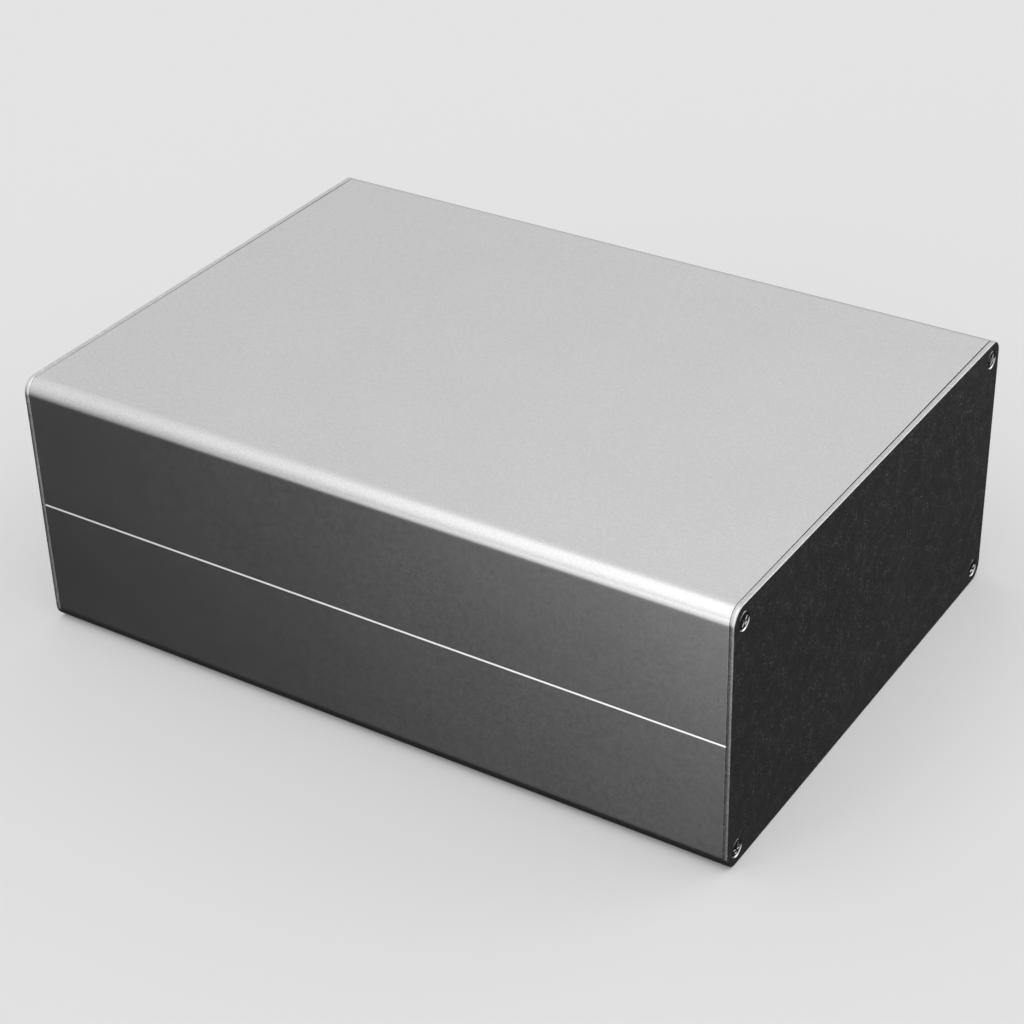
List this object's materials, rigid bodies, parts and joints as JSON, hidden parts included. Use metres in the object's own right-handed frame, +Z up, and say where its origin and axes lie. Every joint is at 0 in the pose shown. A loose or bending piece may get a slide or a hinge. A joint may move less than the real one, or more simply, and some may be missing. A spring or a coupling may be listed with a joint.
{
  "type": "aluminium enclosure",
  "caption": "Closed two-part extruded aluminium enclosure for circuit boards, split half way up its sides, with flat end plates held by countersunk corner screws.",
  "frame": {"origin": "middle of the underside that the box rests on", "axes": "+X along the extrusions towards the right end plate, -Y out of the front wall, +Z up"},
  "size_m": [0.223, 0.158, 0.08],
  "materials": {
    "shell": "fine bead blast, clear anodised",
    "plate": "fine bead blast, clear anodised, bare in the countersinks",
    "screw": "bright nickel plating on steel"
  },
  "bodies": {
    "root": {"lower_shell": "shell", "upper_shell": "shell", "left_end_plate": "plate", "right_end_plate": "plate", "left_plate_screws": "screw", "right_plate_screws": "screw"}
  },
  "joints": []
}
